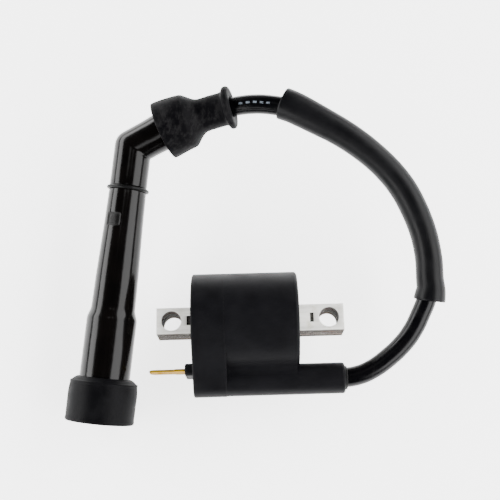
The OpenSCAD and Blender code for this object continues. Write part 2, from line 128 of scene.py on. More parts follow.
def new_material(name, color=None, rough=None, metal=0.0, specular=0.5, ior=1.18, coat=0.0):
    """A material without the colour or the roughness that its own function links later.
    The low index keeps the bright floor from whitening the edges of the black pieces."""
    material = bpy.data.materials.new(name)
    material.use_nodes = True
    tree = material.node_tree
    shader = tree.nodes["Principled BSDF"]
    if color is not None:
        shader.inputs["Base Color"].default_value = (*color, 1)
    if rough is not None:
        shader.inputs["Roughness"].default_value = rough
    shader.inputs["Metallic"].default_value = metal
    shader.inputs["Specular IOR Level"].default_value = specular
    shader.inputs["IOR"].default_value = ior
    shader.inputs["Coat Weight"].default_value = coat
    return material, tree, shader


def node(tree, kind, **values):
    """A new node, with values for its inputs or its settings."""
    made = tree.nodes.new(kind)
    for key, value in values.items():
        if key in made.inputs:
            made.inputs[key].default_value = value
        else:
            setattr(made, key, value)
    return made


def noise_node(tree, scale, detail=4.0, roughness=0.55, stretch=(1, 1, 1)):
    """A noise texture in the object's own metres, with "scale" in features per metre."""
    place = node(tree, "ShaderNodeTexCoord")
    mapping = node(tree, "ShaderNodeMapping")
    mapping.inputs["Scale"].default_value = stretch
    made = node(tree, "ShaderNodeTexNoise", Scale=scale, Detail=detail, Roughness=roughness)
    tree.links.new(place.outputs["Object"], mapping.inputs["Vector"])
    tree.links.new(mapping.outputs["Vector"], made.inputs["Vector"])
    return made.outputs["Fac"]


def ramp(tree, source, low, high, at_low=0.35, at_high=0.65):
    """One colour up to at_low, another from at_high on."""
    made = node(tree, "ShaderNodeValToRGB")
    first, last = made.color_ramp.elements
    first.position, last.position = at_low, at_high
    first.color, last.color = (*low, 1), (*high, 1)
    tree.links.new(source, made.inputs["Fac"])
    return made.outputs["Color"]


def span(tree, source, low, high, at_low=0.3, at_high=0.7):
    """The source's range from at_low to at_high, spread over low to high."""
    made = node(tree, "ShaderNodeMapRange")
    made.inputs["From Min"].default_value = at_low
    made.inputs["From Max"].default_value = at_high
    made.inputs["To Min"].default_value = low
    made.inputs["To Max"].default_value = high
    tree.links.new(source, made.inputs["Value"])
    return made.outputs["Result"]


def bump(tree, shader, height, distance, strength, below=None):
    """Relief of the given height in metres, on top of the bump below it where there is one."""
    made = node(tree, "ShaderNodeBump", Strength=strength, Distance=distance)
    tree.links.new(height, made.inputs["Height"])
    if below is not None:
        tree.links.new(below, made.inputs["Normal"])
    tree.links.new(made.outputs["Normal"], shader.inputs["Normal"])
    return made.outputs["Normal"]


def mix_colors(tree, factor, first, second):
    """The colour sockets of a Mix node share their names with others, so they go by number."""
    made = node(tree, "ShaderNodeMix", data_type="RGBA")
    tree.links.new(factor, made.inputs[0])
    tree.links.new(first, made.inputs[6])
    tree.links.new(second, made.inputs[7])
    return made.outputs[2]


def paint(tree, shader, color):
    """Links a node's output to the base colour."""
    tree.links.new(color, shader.inputs["Base Color"])


def roughen(tree, shader, rough):
    """Links a node's output to the roughness."""
    tree.links.new(rough, shader.inputs["Roughness"])


# ---------------------------------------------------------------- materials


def housing_plastic():
    """Matte moulded plastic: fine grain, slightly uneven sheen and a faint dust."""
    material, tree, shader = new_material("housing_plastic", specular=0.44)
    grain = noise_node(tree, 5200, 3.0)
    cloud = noise_node(tree, 120, 5.0)
    paint(tree, shader, ramp(tree, cloud, (0.0016, 0.0016, 0.0023), (0.0028, 0.0028, 0.0037)))
    roughen(tree, shader, span(tree, cloud, 0.44, 0.56))
    bump(tree, shader, grain, 0.00005, 0.5)
    return material


def epoxy_resin():
    """Poured resin with a shallow, glossy ripple."""
    material, tree, shader = new_material("epoxy_resin", specular=0.8)
    ripple = noise_node(tree, 90, 2.0)
    paint(tree, shader, ramp(tree, ripple, (0.004, 0.004, 0.004), (0.011, 0.0105, 0.01)))
    roughen(tree, shader, span(tree, ripple, 0.22, 0.4))
    bump(tree, shader, ripple, 0.0006, 0.5)
    return material


def lug_face_steel():
    """Bright stamped sheet: long fine rolling marks and a few yellowish stains."""
    material, tree, shader = new_material("lug_face_steel", metal=0.2)
    stain = noise_node(tree, 260, 4.0)
    marks = noise_node(tree, 900, 5.0, 0.6, (0.12, 1, 1))
    pale = ramp(tree, marks, (0.78, 0.77, 0.71), (0.92, 0.91, 0.87))
    warm = ramp(tree, stain, (0.6, 0.57, 0.46), (0.9, 0.89, 0.85), 0.28, 0.5)
    blend = span(tree, stain, 0.65, 0.15, 0.3, 0.6)
    paint(tree, shader, mix_colors(tree, blend, pale, warm))
    roughen(tree, shader, span(tree, marks, 0.26, 0.46))
    bump(tree, shader, marks, 0.00006, 0.35)
    return material


def cut_edge_steel():
    """The dark sheared edges of the stack, with thin rust along some sheets."""
    material, tree, shader = new_material("cut_edge_steel", ior=1.05)
    streak = noise_node(tree, 700, 4.0, 0.6, (0.25, 0.25, 3.2))
    rust = noise_node(tree, 300, 5.0, 0.6, (0.3, 0.3, 2.4))
    dark = ramp(tree, streak, (0.02, 0.018, 0.016), (0.085, 0.08, 0.072))
    brown = ramp(tree, rust, (0.13, 0.045, 0.02), (0.04, 0.033, 0.028))
    blend = span(tree, rust, 0.7, 0.0, 0.38, 0.5)
    paint(tree, shader, mix_colors(tree, blend, dark, brown))
    roughen(tree, shader, span(tree, streak, 0.36, 0.62))
    bump(tree, shader, streak, 0.00008, 0.5)
    return material


def dimple_painted_shade():
    """The bottoms of the pressed dimples, painted near black to stand for the shade in their slots."""
    material, tree, shader = new_material("dimple_painted_shade", rough=0.6, metal=0.6)
    shade_mottle = noise_node(tree, 1500, 3.0)
    # Painted shade: this near-black colour stands in for the shade inside the dimple slots, with a faint
    # mottle
    paint(tree, shader, ramp(tree, shade_mottle, (0.015, 0.014, 0.013), (0.06, 0.055, 0.05)))
    return material


def blade_brass():
    """Rolled brass with fine lengthwise marks and patches of darker tarnish."""
    material, tree, shader = new_material("blade_brass", metal=0.7, specular=0.1)
    shader.inputs["Specular Tint"].default_value = (0.45, 0.3, 0.06, 1)
    marks = noise_node(tree, 1400, 4.0, 0.6, (0.15, 1, 1))
    tarnish = noise_node(tree, 420, 4.0)
    bright = ramp(tree, marks, (0.34, 0.21, 0.02), (0.5, 0.33, 0.045))
    dull = ramp(tree, tarnish, (0.22, 0.13, 0.012), (0.4, 0.25, 0.03), 0.3, 0.55)
    blend = span(tree, tarnish, 0.6, 0.1)
    paint(tree, shader, mix_colors(tree, blend, bright, dull))
    roughen(tree, shader, span(tree, marks, 0.2, 0.38))
    bump(tree, shader, marks, 0.00004, 0.35)
    return material


def lead_rubber():
    """Glossy extruded insulation with a faint lengthwise ripple."""
    material, tree, shader = new_material("lead_rubber", specular=0.9)
    ripple = noise_node(tree, 240, 3.0)
    dust = noise_node(tree, 2600, 4.0)
    paint(tree, shader, ramp(tree, dust, (0.001, 0.001, 0.0014), (0.0022, 0.0022, 0.0026), 0.5, 0.75))
    roughen(tree, shader, span(tree, ripple, 0.18, 0.3))
    bump(tree, shader, ripple, 0.00004, 0.3)
    return material


def sleeve_vinyl():
    """Satin vinyl tube: soft sheen, faint drawn lines and a dusty bloom."""
    material, tree, shader = new_material("sleeve_vinyl", specular=0.68)
    cloud = noise_node(tree, 150, 4.0)
    grain = noise_node(tree, 3800, 3.0)
    paint(tree, shader, ramp(tree, cloud, (0.0012, 0.0012, 0.0017), (0.0024, 0.0024, 0.003)))
    roughen(tree, shader, span(tree, cloud, 0.36, 0.48))
    bump(tree, shader, grain, 0.00003, 0.4)
    return material


def dusty_rubber():
    """Moulded rubber with a mottled dusty bloom and small pits."""
    material, tree, shader = new_material("dusty_rubber", specular=0.24)
    mottle = noise_node(tree, 420, 6.0, 0.7, (1, 0.45, 1))
    pits = noise_node(tree, 2400, 4.0)
    paint(tree, shader, ramp(tree, mottle, (0.0008, 0.0008, 0.0013), (0.016, 0.0155, 0.016), 0.46, 0.8))
    roughen(tree, shader, span(tree, mottle, 0.44, 0.7))
    first = bump(tree, shader, mottle, 0.00022, 0.45)
    bump(tree, shader, pits, 0.00005, 0.5, first)
    return material


def boot_rubber():
    """Plain matte rubber of the plug boot, with fine specks and a few scuffs."""
    material, tree, shader = new_material("boot_rubber", specular=0.32)
    grain = noise_node(tree, 3400, 4.0)
    scuff = noise_node(tree, 210, 6.0, 0.65)
    paint(tree, shader, ramp(tree, scuff, (0.001, 0.001, 0.0015), (0.0036, 0.0036, 0.0043), 0.45, 0.78))
    roughen(tree, shader, span(tree, scuff, 0.44, 0.6))
    bump(tree, shader, grain, 0.00006, 0.5)
    return material


def smooth_rubber():
    """Smooth rubber of the band and the lead's collar, with a slightly uneven sheen."""
    material, tree, shader = new_material("smooth_rubber", color=(0.003, 0.003, 0.003), specular=0.6)
    cloud = noise_node(tree, 700, 3.0)
    roughen(tree, shader, span(tree, cloud, 0.3, 0.46))
    bump(tree, shader, cloud, 0.00004, 0.3)
    return material


def cap_phenolic():
    """Polished phenolic moulding: deep black, slightly wavy gloss and faint handling marks."""
    material, tree, shader = new_material("cap_phenolic", specular=1.0)
    wave = noise_node(tree, 110, 3.0, 0.5)
    marks = noise_node(tree, 1900, 5.0, 0.7)
    paint(tree, shader, ramp(tree, wave, (0.001, 0.0009, 0.0009), (0.002, 0.0016, 0.0015)))
    roughen(tree, shader, span(tree, marks, 0.13, 0.24, 0.4, 0.75))
    bump(tree, shader, wave, 0.00025, 0.35)
    return material


def pad_finish():
    """The spark-eroded, matte face inside the cap's framed recess."""
    material, tree, shader = new_material("pad_finish", color=(0.0016, 0.0014, 0.0014), specular=0.8)
    grain = noise_node(tree, 4200, 3.0)
    roughen(tree, shader, span(tree, grain, 0.42, 0.56))
    bump(tree, shader, grain, 0.00004, 0.4)
    return material


def plain_metal(name, color, rough):
    """Bare or plated metal of a hidden piece, with fine marks."""
    material, tree, shader = new_material(name, metal=1.0)
    marks = noise_node(tree, 1200, 4.0, 0.6)
    darker = tuple(c * 0.8 for c in color)
    paint(tree, shader, ramp(tree, marks, darker, color))
    roughen(tree, shader, span(tree, marks, rough * 0.8, rough * 1.3))
    bump(tree, shader, marks, 0.00004, 0.3)
    return material


def wound_copper():
    """Enamelled turns, close wound round the core's axis."""
    material, tree, shader = new_material("wound_copper", rough=0.3, metal=0.6, coat=0.5)
    turns = node(tree, "ShaderNodeTexWave", bands_direction="X", Scale=450)
    place = node(tree, "ShaderNodeTexCoord")
    tree.links.new(place.outputs["Object"], turns.inputs["Vector"])
    paint(tree, shader, ramp(tree, turns.outputs["Fac"], (0.2, 0.06, 0.02), (0.48, 0.18, 0.07)))
    bump(tree, shader, turns.outputs["Fac"], 0.0002, 0.6)
    return material


def pale_moulding(name, color):
    """Pale plastic or ceramic of a hidden piece."""
    material, tree, shader = new_material(name, rough=0.5)
    cloud = noise_node(tree, 500, 4.0)
    darker = tuple(c * 0.85 for c in color)
    paint(tree, shader, ramp(tree, cloud, darker, color))
    bump(tree, shader, cloud, 0.00006, 0.3)
    return material


def print_ink():
    """Worn pale print on the lead."""
    material, tree, shader = new_material("print_ink", rough=0.5)
    worn = noise_node(tree, 1600, 4.0, 0.7)
    paint(tree, shader, ramp(tree, worn, (0.045, 0.052, 0.06), (0.12, 0.14, 0.165), 0.36, 0.56))
    return material


def floor_paper():
    """White sweep on a light table: it glows a little, so the shadows stay soft."""
    material, tree, shader = new_material("floor_paper", color=(0.9, 0.9, 0.9), rough=0.9, specular=0.1)
    shader.inputs["Emission Color"].default_value = (1, 1, 1, 1)
    shader.inputs["Emission Strength"].default_value = FLOOR_GLOW
    return material


# ---------------------------------------------------------------- mesh helpers


def add_object(name, data):
    made = bpy.data.objects.new(name, data)
    bpy.context.scene.collection.objects.link(made)
    return made


def cleaned(mesh):
    """Doubled points joined and faces turned outward."""
    work = bmesh.new()
    work.from_mesh(mesh)
    bmesh.ops.remove_doubles(work, verts=work.verts, dist=WELD_DISTANCE)
    bmesh.ops.recalc_face_normals(work, faces=work.faces)
    work.to_mesh(mesh)
    work.free()
    return mesh


def mesh_object(name, points, faces, material, smooth_angle=35):
    """Points in millimetres. Edges sharper than the given angle stay sharp."""
    mesh = bpy.data.meshes.new(name)
    mesh.from_pydata([Vector(p) * MM for p in points], [], faces)
    mesh.validate()
    made = add_object(name, cleaned(mesh))
    made.data.materials.append(material)
    shade(made, smooth_angle)
    return made


def shade(made, smooth_angle):
    mesh = made.data
    mesh.polygons.foreach_set("use_smooth", [True] * len(mesh.polygons))
    mesh.set_sharp_from_angle(angle=math.radians(smooth_angle))
    mesh.update()


def apply_modifiers(made):
    bpy.context.view_layer.update()
    graph = bpy.context.evaluated_depsgraph_get()
    mesh = bpy.data.meshes.new_from_object(made.evaluated_get(graph), depsgraph=graph)
    made.modifiers.clear()
    made.data = mesh


def cut_with(made, cutter, operation="DIFFERENCE"):
    """Cuts the cutter's shape away, or joins it when the operation is UNION, and deletes the cutter."""
    step = made.modifiers.new("cut", "BOOLEAN")
    step.operation = operation
    step.solver = "EXACT"
    step.object = cutter
    apply_modifiers(made)
    bpy.data.objects.remove(cutter)


def ring_grid(rings):
    """Faces for rings of equal size, one after the other, closed by a face at both ends."""
    count = len(rings[0])
    points = [p for ring in rings for p in ring]
    faces = []
    for i in range(len(rings) - 1):
        for k in range(count):
            a, b = i * count + k, i * count + (k + 1) % count
            faces.append((a, b, b + count, a + count))
    faces.append(tuple(range(count)))
    faces.append(tuple(reversed(range(len(points) - count, len(points)))))
    return points, faces


def looped_grid(rings):
    """Faces for rings whose last ring joins the first, such as a tube wall's section."""
    count = len(rings[0])
    points = [p for ring in rings for p in ring]
    faces = []
    for i in range(len(rings)):
        j = (i + 1) % len(rings)
        for k in range(count):
            a, b = i * count + k, i * count + (k + 1) % count
            c, d = j * count + k, j * count + (k + 1) % count
            faces.append((a, b, d, c))
    return points, faces


def circle_ring(centre, u, v, r, count):
    return [
        centre + (u * math.cos(2 * math.pi * k / count) + v * math.sin(2 * math.pi * k / count)) * r
        for k in range(count)
    ]


def arc_profile(x0, r0, x1, r1, bulge, steps=6):
    """Quarter-round between two profile points. With bulge it leaves the first point along the radius."""
    out = []
    for i in range(steps + 1):
        t = math.pi / 2 * i / steps
        if bulge:
            out.append((x0 + (x1 - x0) * (1 - math.cos(t)), r0 + (r1 - r0) * math.sin(t)))
        else:
            out.append((x0 + (x1 - x0) * math.sin(t), r0 + (r1 - r0) * (1 - math.cos(t))))
    return out


def rings_along_x(profile, y, count):
    """One ring for each (x, radius) pair, round the line at the given y and at height 0."""
    u, v = Vector((0, 1, 0)), Vector((0, 0, 1))
    return [circle_ring(Vector((x, y, 0)), u, v, r, count) for x, r in profile]


def lathe_x(name, profile, material, y=0.0, count=128):
    """A closed lathe about a line along X. The profile runs from one end of the solid to the other."""
    points, faces = ring_grid(rings_along_x(profile, y, count))
    return mesh_object(name, points, faces, material)


def interpolate(points, x):
    """Straight interpolation in a list of (x, value) pairs that rises in x."""
    for (x0, v0), (x1, v1) in zip(points, points[1:]):
        if x <= x1:
            return v0 + (v1 - v0) * max(0.0, (x - x0) / (x1 - x0))
    return points[-1][1]


def catmull(points, per_span):
    """A smooth line through the points, with "per_span" steps between neighbours."""
    points = [Vector(p) for p in points]
    ends = [points[0] * 2 - points[1]] + points + [points[-1] * 2 - points[-2]]
    line = []
    for i in range(1, len(ends) - 2):
        p0, p1, p2, p3 = ends[i - 1 : i + 3]
        for s in range(per_span):
            t = s / per_span
            line.append(
                0.5 * (2 * p1 + (p2 - p0) * t + (2 * p0 - 5 * p1 + 4 * p2 - p3) * t * t
                       + (3 * p1 - p0 - 3 * p2 + p3) * t ** 3)
            )
    line.append(points[-1].copy())
    return line


def tangents(line):
    """The direction of travel at each point of a line."""
    return [(line[min(i + 1, len(line) - 1)] - line[max(i - 1, 0)]).normalized() for i in range(len(line))]


def frame_at(tangent):
    """Two unit vectors across a line: one level, one upward."""
    side = tangent.cross(Vector((0, 0, 1))).normalized()
    return side, side.cross(tangent).normalized()


def finish_piece(made, body, slot_name, *nodes):
    """Ties a piece to its body and hides the CAD nodes that it stands for. The slot name is not used."""
    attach(made, body)
    if nodes:
        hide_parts(*nodes)
    return made


# ---------------------------------------------------------------- the lead and what is on it


def make_lead(material):
    """The insulation: a round section along the lead's route."""
    data = bpy.data.curves.new("ht_lead_skin", "CURVE")
    data.dimensions = "3D"
    spline = data.splines.new("BEZIER")
    spline.bezier_points.add(len(LEAD_ROUTE) - 1)
    for point, place in zip(spline.bezier_points, LEAD_ROUTE):
        point.co = Vector(place) * MM
        point.handle_left_type = point.handle_right_type = "AUTO"
    data.resolution_u = 12
    data.bevel_depth = LEAD_R * MM
    data.bevel_resolution = 12
    data.use_fill_caps = True
    data.materials.append(material)
    return finish_piece(add_object("ht_lead_skin", data), COIL, "lead_insulation", "ht_lead")


def make_print(material):
    """A row of short plain dashes on the lead's upper side, between the cable boot and the sleeve."""
    line = catmull(LEAD_ROUTE[21:24], 60)
    away = tangents(line)
    dash_count, printed_share, dash_share = 5, 0.8, 0.6
    lift, thickness = 0.05, 0.03
    arc = [math.radians(a) for a in (70, 74, 78, 82)]
    pitch = int(printed_share * len(line)) // dash_count
    points, faces = [], []
    for dash in range(dash_count):
        first = dash * pitch + pitch // 4
        rows = range(first, first + int(pitch * dash_share))
        base = len(points)
        for i in rows:
            side, up = frame_at(away[i])
            points += [line[i] + (up * math.sin(a) - side * math.cos(a)) * (LEAD_R + lift) for a in arc]
        for r in range(len(rows) - 1):
            for c in range(len(arc) - 1):
                a = base + r * len(arc) + c
                faces.append((a, a + 1, a + 1 + len(arc), a + len(arc)))
    made = mesh_object("lead_print", points, faces, material, 60)
    thick = made.modifiers.new("thickness", "SOLIDIFY")
    thick.thickness = thickness * MM
    apply_modifiers(made)
    return finish_piece(made, COIL, "lead_insulation")


def make_sleeve(material):
    """A loose vinyl tube: flattened by the bend in its middle, round at its cut ends."""
    low_end = [(63.6, 4.4, 7.6), (64.2, 8.2, 8.8)]
    high_end = [(18.2, 71.8, 25.6), (13.8, 74.0, 25.3)]
    line = catmull(low_end + LEAD_ROUTE[11:20] + high_end, 7)
    away = tangents(line)
    half_width, half_height = 4.78, 5.35
    count, wall, soft = 64, 0.95, 0.3
    outer, inner = [], []
    for i, (p, t) in enumerate(zip(line, away)):
        side, up = frame_at(t)
        s = i / (len(line) - 1)
        low_flare = math.exp(-((s / 0.1) ** 2))
        high_flare = math.exp(-(((1 - s) / 0.2) ** 2))
        across = half_width + 0.75 * low_flare + 1.1 * high_flare
        tall = half_height + 0.1 * (low_flare + high_flare)
        wobble = 0.12 * noise.noise(Vector((s * 9, 1.7, 0.3)))
        outer.append((p, side * (across + wobble), up * tall))
        inner.append((p, side * (across - wall), up * (tall - wall)))

    def oval(section, grow=1.0):
        centre, u, v = section
        return circle_ring(centre, u * grow, v * grow, 1, count)

    def moved(section, step):
        centre, u, v = section
        return centre + step, u, v

    # The end rings stand a little inside the cut, so that its edges are soft
    start, end = away[0] * soft, away[-1] * soft
    outside = [moved(outer[0], start)] + outer[1:-1] + [moved(outer[-1], -end)]
    inside = [moved(inner[0], start)] + inner[1:]
    rings = [oval(outer[0], 0.97)] + [oval(section) for section in outside] + [oval(outer[-1], 0.97)]
    rings += [oval(inner[-1], 1.03)] + [oval(section) for section in reversed(inside)]
    rings += [oval(inner[0], 1.03)]
    points, faces = looped_grid(rings)
    made = mesh_object("sleeve_skin", points, faces, material, 50)
    return finish_piece(made, COIL, "sleeve_vinyl", "lead_sleeve")


# The cable boot's axis: where its cup starts, its plan heading at both ends, its climb and its length
BOOT_START = Vector((-30, 69.4, 14.7))
BOOT_HEADINGS = (math.radians(19), math.radians(7))
BOOT_RISE = math.radians(13.3)
BOOT_LENGTH = 27.2


def cable_boot_place(s):
    """Centre and direction at distance s along the cable boot, whose plan heading turns evenly."""
    first, last = BOOT_HEADINGS
    heading = first + (last - first) * s / BOOT_LENGTH
    plan_r = BOOT_LENGTH * math.cos(BOOT_RISE) / (last - first)
    centre = BOOT_START + Vector((
        plan_r * (math.sin(heading) - math.sin(first)),
        plan_r * (math.cos(first) - math.cos(heading)),
        s * math.sin(BOOT_RISE),
    ))
    flat = math.cos(BOOT_RISE)
    return centre, Vector((flat * math.cos(heading), flat * math.sin(heading), math.sin(BOOT_RISE)))


def make_cable_boot(material):
    """Cup, cone, neck and rolled rim of the boot between the lead and the cap's arm."""
    cup = [
        (0.35, 9.9), (0.08, 10.3), (0.0, 10.5), (0.12, 10.72), (0.5, 10.84), (1.2, 10.84), (2.4, 10.74),
        (4, 10.58), (6, 10.4), (8, 10.22), (9.4, 10.08), (10.1, 9.92), (10.7, 9.6),
    ]
    cone = [(11.4, 9.02), (12.6, 7.95), (13.8, 7.0), (14.7, 6.48), (15.6, 6.24)]
    neck = [(17, 6.16), (20, 6.12), (23, 6.16), (23.9, 6.26), (24.4, 6.5)]
    rim = [
        (24.7, 6.95), (24.9, 7.4), (25.2, 7.7), (25.7, 7.88), (26.2, 7.88), (26.7, 7.7), (27.05, 7.3),
        (27.2, 6.8), (27.2, 5.4), (27.1, 4.3), (26.8, 3.75), (26.2, 3.56),
    ]
    bore = [(22, 3.56), (15, 3.6), (12.8, 4.8), (10.6, 7.4)]
    cup_inside = [(9.6, 8.6), (3.6, 8.6), (2.8, 7.7), (1.2, 7.5), (0.5, 7.7)]
    count, bore_r = 96, 6
    rings = []
    for station, r in cup + cone + neck + rim + bore + cup_inside:
        centre, away = cable_boot_place(station)
        side, up = frame_at(away)
        ring = []
        for k, p in enumerate(circle_ring(centre, side, up, r, count)):
            lump = noise.noise(p * 0.22) * 0.12 + noise.noise(p * 0.6 + Vector((3, 1, 2))) * 0.05
            ring.append(p + (p - centre).normalized() * (lump if r > bore_r else 0))
        rings.append(ring)
    points, faces = looped_grid(rings)
    made = mesh_object("cable_boot_skin", points, faces, material, 60)
    return finish_piece(made, COIL, "rubber_dusty", "cable_boot")


def make_grommet(material):
    """The collar that stands a little out of the tower's mouth."""
    start, end = 25.6, TOWER_RIGHT + 0.75
    bore_r, r, edge_r = 3.6, 4.15, 3.85
    profile = [(start, bore_r), (start, r), (end - 0.4, r)]
    profile += arc_profile(end - 0.4, r, end, edge_r, False, 4) + [(end, bore_r)]
    points, faces = looped_grid(rings_along_x(profile, TOWER_Y, 64))
    made = mesh_object("grommet_skin", points, faces, material, 40)
    return finish_piece(made, COIL, "rubber_black", "lead_grommet")


# ---------------------------------------------------------------- the coil


def joined_outline(inset, steps=48):
    """The tangent outline round the housing and the lead tower, as (y, z), smaller all round by "inset"."""
    r1, r2 = HOUSING_R - inset, TOWER_R - inset
    slope = math.asin((HOUSING_R - TOWER_R) / -TOWER_Y)
    out = []
    for i in range(2 * steps + 1):
        a = -(math.pi / 2 + slope) + (math.pi + 2 * slope) * i / (2 * steps)
        out.append((r1 * math.cos(a), r1 * math.sin(a)))
    span_small = math.pi - 2 * slope
    for i in range(steps // 2 + 1):
        a = math.pi / 2 + slope + span_small * i / (steps // 2)
        out.append((TOWER_Y + r2 * math.cos(a), r2 * math.sin(a)))
    return out


def block_mesh(name, x0, x1, inset, round_left, round_right, material):
    """The joined outline from x0 to x1 with rounded end edges."""
    steps = 6
    angles = [math.pi / 2 * i / steps for i in range(steps + 1)]

    def turned_in(r, t):
        return inset + r * (1 - math.sin(t))

    stations = [(x0 + round_left * (1 - math.cos(t)), turned_in(round_left, t)) for t in angles]
    stations += [(x0 + round_left + 0.25, inset), (x1 - round_right - 0.25, inset)]
    stations += [
        (x1 - round_right * (1 - math.cos(t)), turned_in(round_right, t)) for t in reversed(angles)
    ]
    rings = [[Vector((x, y, z)) for y, z in joined_outline(shrink)] for x, shrink in stations]
    points, faces = ring_grid(rings)
    return mesh_object(name, points, faces, material)


def box_mesh(name, low, high, material):
    (x0, y0, z0), (x1, y1, z1) = low, high
    points = [(x, y, z) for x in (x0, x1) for y in (y0, y1) for z in (z0, z1)]
    faces = [(0, 1, 3, 2), (4, 6, 7, 5), (0, 4, 5, 1), (2, 3, 7, 6), (0, 2, 6, 4), (1, 5, 7, 3)]
    return mesh_object(name, points, faces, material)


def fillet_web(name, x0, x1, body_r, tower_r, material):
    """The soft fillets between the round body and the tower, as one prism along X."""
    r, steps = 4.0, 16
    y = -((body_r + r) ** 2 - (tower_r + r) ** 2 + TOWER_Y ** 2) / (-2 * TOWER_Y)
    z = math.sqrt((body_r + r) ** 2 - y * y)
    start, end = math.atan2(-z, -y), math.atan2(-z, TOWER_Y - y)
    turns = [start + (end - start) * i / steps for i in range(steps + 1)]
    upper = [(y + r * math.cos(a), z + r * math.sin(a)) for a in turns]
    outline = upper + [(b, -c) for b, c in reversed(upper)]
    points, faces = ring_grid([[Vector((x, b, c)) for b, c in outline] for x in (x0, x1)])
    return mesh_object(name, points, faces, material)


def make_housing(material):
    """One shell: the joined left section, the round body, the lead tower, and its open potted end."""
    start = -12  # inside the joined section, where the body and the tower begin
    body_r, tower_r = HOUSING_R - 0.03, TOWER_R - 0.15
    tower_edge, mouth_r, gap = 1.0, 4.25, 0.06

    profile = [(start, 10), (start, body_r), (CASE_RIGHT - EDGE_R - 0.3, body_r)]
    profile += arc_profile(CASE_RIGHT - EDGE_R, body_r, CASE_RIGHT, HOUSING_R - EDGE_R, False, 8)
    body = lathe_x("housing_shell", profile, material, count=192)
    profile = [(start, 2), (start, tower_r), (TOWER_RIGHT - tower_edge - 0.3, tower_r)]
    profile += arc_profile(TOWER_RIGHT - tower_edge, tower_r, TOWER_RIGHT, tower_r - tower_edge, False, 8)
    cut_with(body, lathe_x("tower", profile, material, TOWER_Y, 96), "UNION")
    web = fillet_web("web", start, CASE_RIGHT - 0.9, body_r - 0.01, tower_r - 0.01, material)
    cut_with(body, web, "UNION")
    cut_with(body, block_mesh("block", CASE_LEFT, BLOCK_RIGHT, 0, 0.7, 0.35, material), "UNION")

    cut_with(body, block_mesh("pocket", CASE_LEFT - 2, CASE_LEFT + 0.62, 1.8, 0.01, 0.05, material))
    y, z = CORE_WIDTH / 2 + gap, CORE_THICKNESS / 2 + gap
    cut_with(body, box_mesh("slot", (CASE_LEFT - 3, -y, -z), (CASE_RIGHT + 3, y, z), material))
    cut_with(body, lathe_x("mouth", [(25.3, mouth_r), (TOWER_RIGHT + 2, mouth_r)], material, TOWER_Y, 64))
    shade(body, 20)
    return finish_piece(body, COIL, "housing_plastic", "housing")


def rounded_outline(width, height, r, steps=5):
    """A rectangle about the origin with round corners, as (x, y)."""
    out = []
    for cx, cy, start in ((1, 1, 0), (-1, 1, 90), (-1, -1, 180), (1, -1, 270)):
        for i in range(steps + 1):
            a = math.radians(start + 90 * i / steps)
            out.append((cx * (width / 2 - r) + r * math.cos(a), cy * (height / 2 - r) + r * math.sin(a)))
    return out


def make_terminal_base(material):
    """The rounded block round the blade's root, with softened ends."""
    thickness, width, corner_r = 4.3, 10.4, 1.2
    stations = [(-16.9, 0.0), (-22.9, 0.0), (-23.2, 0.12), (-23.4, 0.45)]
    rings = []
    for x, shrink in stations:
        outline = rounded_outline(thickness - 2 * shrink, width - 2 * shrink, corner_r)
        rings.append([Vector((x, TERMINAL_Y + y, z)) for y, z in outline])
    points, faces = ring_grid(rings)
    made = mesh_object("terminal_block", points, faces, material, 40)
    return finish_piece(made, COIL, "housing_plastic", "terminal_base")


def filled_plate(name, outline, holes, thickness, bevel, material, slots=()):
    """A flat plate in the XY plane with round holes and slots, its edges softened."""
    data = bpy.data.curves.new(name, "CURVE")
    data.dimensions = "2D"
    data.fill_mode = "BOTH"
    data.extrude = (thickness / 2 - bevel) * MM
    data.bevel_depth = bevel * MM
    data.bevel_resolution = 1
    data.offset = -bevel * MM
    turns = [2 * math.pi * k / 48 for k in range(48)]
    rounds = [[(x + r * math.cos(a), y + r * math.sin(a)) for a in turns] for x, y, r in holes]
    for path in [outline] + rounds + list(slots):
        spline = data.splines.new("POLY")
        spline.points.add(len(path) - 1)
        for point, (x, y) in zip(spline.points, path):
            point.co = (x * MM, y * MM, 0, 1)
        spline.use_cyclic_u = True
    made = add_object(name, data)
    graph = bpy.context.evaluated_depsgraph_get()
    mesh = bpy.data.meshes.new_from_object(made.evaluated_get(graph), depsgraph=graph)
    bpy.data.objects.remove(made)
    plate = add_object(name, cleaned(mesh))
    plate.data.materials.clear()
    plate.data.materials.append(material)
    return plate


def make_blade(material):
    """The 6.3 mm tab: chamfered tip, latching hole and the wide shoulders at its root."""
    half, wide, chamfer = 3.15, 4.0, 1.3
    tip, neck, shoulder, inner_shoulder, root = -36.1, -27.4, -27.0, -22.6, -17.2
    latch_hole, thickness, bevel = (-32.3, 0, 0.9), 0.8, 0.12
    lower = [
        (tip, -half + chamfer), (tip + chamfer, -half), (neck, -half), (shoulder, -wide),
        (inner_shoulder, -wide), (inner_shoulder, -half), (root, -half),
    ]
    outline = lower + [(x, -y) for x, y in reversed(lower)]
    made = filled_plate("blade", outline, [latch_hole], thickness, bevel, material)
    upright = Matrix.Rotation(math.radians(90), 4, "X")
    made.data.transform(Matrix.Translation((0, TERMINAL_Y * MM, 0)) @ upright)
    shade(made, 40)
    return finish_piece(made, COIL, "brass", "primary_terminal")


